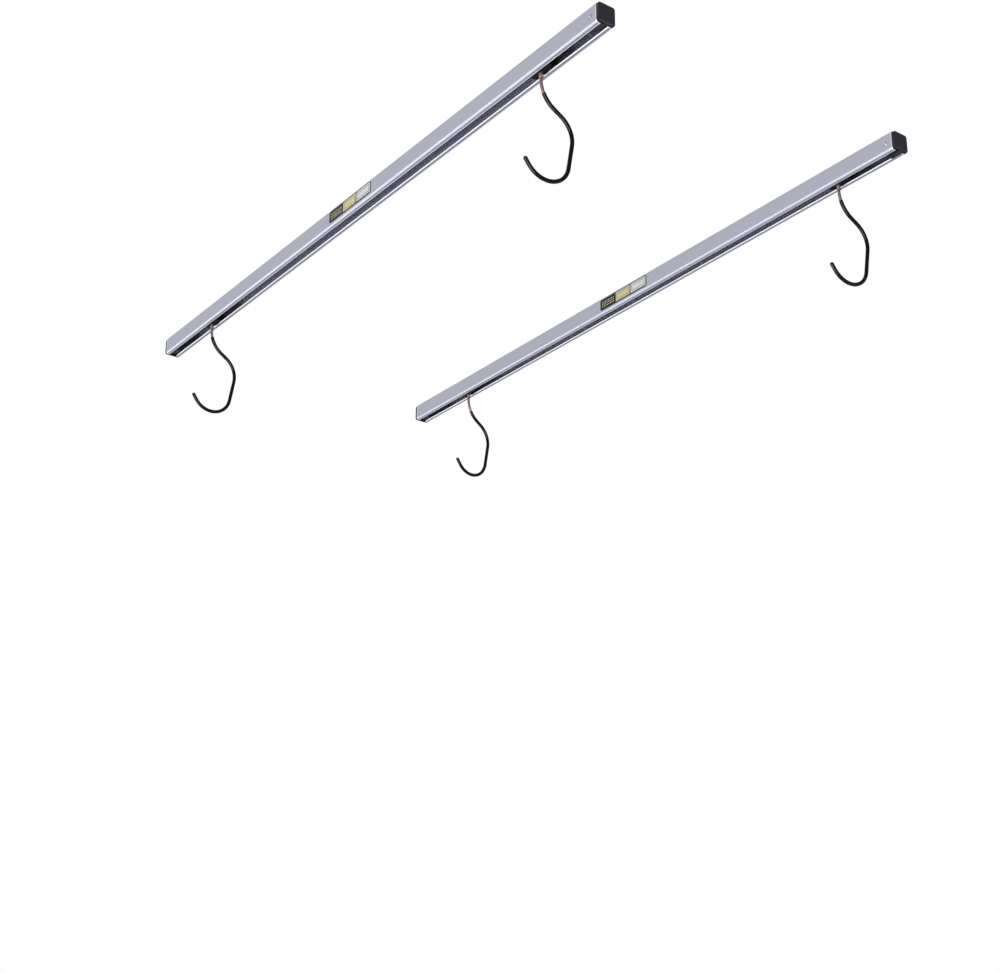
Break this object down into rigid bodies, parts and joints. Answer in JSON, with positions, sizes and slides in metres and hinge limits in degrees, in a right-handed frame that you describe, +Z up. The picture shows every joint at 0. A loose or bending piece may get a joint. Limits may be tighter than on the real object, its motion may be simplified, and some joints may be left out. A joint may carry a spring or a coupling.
{
  "type": "ceiling bike rack",
  "caption": "Ceiling bike rack: parallel slotted aluminium rails with end caps, and coated swivelling hooks hanging from roller trolleys that run along the slots.",
  "frame": {"origin": "middle of the first rail's ceiling face, on the ceiling plane", "axes": "+X along the rails towards their near ends, +Y from the first rail to the second, +Z up into the ceiling"},
  "size_m": [1.3867, 0.6723, 0.2142],
  "materials": {
    "rail_aluminium": "satin anodised",
    "rivet_aluminium": "satin",
    "cap_plastic": "fine grained moulded plastic",
    "label_film": "printed film",
    "trolley_plastic": "moulded nylon",
    "roller_plastic": "moulded nylon",
    "bush_brass": "turned, darkened by grease",
    "pin_steel": "zinc plated",
    "collar_zinc": "yellowed zinc plate",
    "rod_steel": "drawn rod, dull plate",
    "sleeve_vinyl": "dipped vinyl"
  },
  "bodies": {
    "rails": {"rail_1": "rail_aluminium", "rail_1_near_cap": "cap_plastic", "rail_1_far_cap": "cap_plastic", "rail_1_rivets": "rivet_aluminium", "rail_1_label": "label_film", "rail_2": "rail_aluminium", "rail_2_near_cap": "cap_plastic", "rail_2_far_cap": "cap_plastic", "rail_2_rivets": "rivet_aluminium", "rail_2_label": "label_film"},
    "trolley_1_near": {"trolley_1_near_carriage": "trolley_plastic", "trolley_1_near_bush": "bush_brass", "trolley_1_near_axles": "pin_steel"},
    "rollers_1_near_front": {"trolley_1_near_front_rollers": "roller_plastic"},
    "rollers_1_near_rear": {"trolley_1_near_rear_rollers": "roller_plastic"},
    "hook_1_near": {"hook_1_near_rod": "rod_steel", "hook_1_near_sleeve": "sleeve_vinyl", "hook_1_near_collar": "collar_zinc", "hook_1_near_washer": "pin_steel", "hook_1_near_lock_nut": "pin_steel"},
    "trolley_1_far": {"trolley_1_far_carriage": "trolley_plastic", "trolley_1_far_bush": "bush_brass", "trolley_1_far_axles": "pin_steel"},
    "rollers_1_far_front": {"trolley_1_far_front_rollers": "roller_plastic"},
    "rollers_1_far_rear": {"trolley_1_far_rear_rollers": "roller_plastic"},
    "hook_1_far": {"hook_1_far_rod": "rod_steel", "hook_1_far_sleeve": "sleeve_vinyl", "hook_1_far_collar": "collar_zinc", "hook_1_far_washer": "pin_steel", "hook_1_far_lock_nut": "pin_steel"},
    "trolley_2_near": {"trolley_2_near_carriage": "trolley_plastic", "trolley_2_near_bush": "bush_brass", "trolley_2_near_axles": "pin_steel"},
    "rollers_2_near_front": {"trolley_2_near_front_rollers": "roller_plastic"},
    "rollers_2_near_rear": {"trolley_2_near_rear_rollers": "roller_plastic"},
    "hook_2_near": {"hook_2_near_rod": "rod_steel", "hook_2_near_sleeve": "sleeve_vinyl", "hook_2_near_collar": "collar_zinc", "hook_2_near_washer": "pin_steel", "hook_2_near_lock_nut": "pin_steel"},
    "trolley_2_far": {"trolley_2_far_carriage": "trolley_plastic", "trolley_2_far_bush": "bush_brass", "trolley_2_far_axles": "pin_steel"},
    "rollers_2_far_front": {"trolley_2_far_front_rollers": "roller_plastic"},
    "rollers_2_far_rear": {"trolley_2_far_rear_rollers": "roller_plastic"},
    "hook_2_far": {"hook_2_far_rod": "rod_steel", "hook_2_far_sleeve": "sleeve_vinyl", "hook_2_far_collar": "collar_zinc", "hook_2_far_washer": "pin_steel", "hook_2_far_lock_nut": "pin_steel"}
  },
  "joints": [
    {"name": "trolley_1_near_slide", "type": "slide", "parent": "rails", "child": "trolley_1_near", "axis": [1, 0, 0], "range_m": [-0.457, 0.103]},
    {"name": "hook_1_near_swivel", "type": "hinge", "parent": "trolley_1_near", "child": "hook_1_near", "pos_m": [0.527, 0, -0.025], "axis": [0, 0, 1], "continuous": true},
    {"name": "rollers_1_near_front_spin", "type": "hinge", "parent": "trolley_1_near", "child": "rollers_1_near_front", "pos_m": [0.5415, 0, -0.0214], "axis": [0, 1, 0], "continuous": true},
    {"name": "rollers_1_near_rear_spin", "type": "hinge", "parent": "trolley_1_near", "child": "rollers_1_near_rear", "pos_m": [0.5125, 0, -0.0214], "axis": [0, 1, 0], "continuous": true},
    {"name": "trolley_1_far_slide", "type": "slide", "parent": "rails", "child": "trolley_1_far", "axis": [1, 0, 0], "range_m": [-0.123, 0.437]},
    {"name": "hook_1_far_swivel", "type": "hinge", "parent": "trolley_1_far", "child": "hook_1_far", "pos_m": [-0.507, 0, -0.025], "axis": [0, 0, 1], "continuous": true},
    {"name": "rollers_1_far_front_spin", "type": "hinge", "parent": "trolley_1_far", "child": "rollers_1_far_front", "pos_m": [-0.4925, 0, -0.0214], "axis": [0, 1, 0], "continuous": true},
    {"name": "rollers_1_far_rear_spin", "type": "hinge", "parent": "trolley_1_far", "child": "rollers_1_far_rear", "pos_m": [-0.5215, 0, -0.0214], "axis": [0, 1, 0], "continuous": true},
    {"name": "trolley_2_near_slide", "type": "slide", "parent": "rails", "child": "trolley_2_near", "axis": [1, 0, 0], "range_m": [-0.4745, 0.0855]},
    {"name": "hook_2_near_swivel", "type": "hinge", "parent": "trolley_2_near", "child": "hook_2_near", "pos_m": [0.572, 0.583, -0.025], "axis": [0, 0, 1], "continuous": true},
    {"name": "rollers_2_near_front_spin", "type": "hinge", "parent": "trolley_2_near", "child": "rollers_2_near_front", "pos_m": [0.5865, 0.583, -0.0214], "axis": [0, 1, 0], "continuous": true},
    {"name": "rollers_2_near_rear_spin", "type": "hinge", "parent": "trolley_2_near", "child": "rollers_2_near_rear", "pos_m": [0.5575, 0.583, -0.0214], "axis": [0, 1, 0], "continuous": true},
    {"name": "trolley_2_far_slide", "type": "slide", "parent": "rails", "child": "trolley_2_far", "axis": [1, 0, 0], "range_m": [-0.129, 0.431]},
    {"name": "hook_2_far_swivel", "type": "hinge", "parent": "trolley_2_far", "child": "hook_2_far", "pos_m": [-0.4735, 0.583, -0.025], "axis": [0, 0, 1], "continuous": true},
    {"name": "rollers_2_far_front_spin", "type": "hinge", "parent": "trolley_2_far", "child": "rollers_2_far_front", "pos_m": [-0.459, 0.583, -0.0214], "axis": [0, 1, 0], "continuous": true},
    {"name": "rollers_2_far_rear_spin", "type": "hinge", "parent": "trolley_2_far", "child": "rollers_2_far_rear", "pos_m": [-0.488, 0.583, -0.0214], "axis": [0, 1, 0], "continuous": true}
  ],
  "couplings": [
    {"joint": "rollers_1_near_front_spin", "follows": "trolley_1_near_slide", "rad_per_m": 111.11},
    {"joint": "rollers_1_near_rear_spin", "follows": "trolley_1_near_slide", "rad_per_m": 111.11},
    {"joint": "rollers_1_far_front_spin", "follows": "trolley_1_far_slide", "rad_per_m": 111.11},
    {"joint": "rollers_1_far_rear_spin", "follows": "trolley_1_far_slide", "rad_per_m": 111.11},
    {"joint": "rollers_2_near_front_spin", "follows": "trolley_2_near_slide", "rad_per_m": 111.11},
    {"joint": "rollers_2_near_rear_spin", "follows": "trolley_2_near_slide", "rad_per_m": 111.11},
    {"joint": "rollers_2_far_front_spin", "follows": "trolley_2_far_slide", "rad_per_m": 111.11},
    {"joint": "rollers_2_far_rear_spin", "follows": "trolley_2_far_slide", "rad_per_m": 111.11}
  ]
}
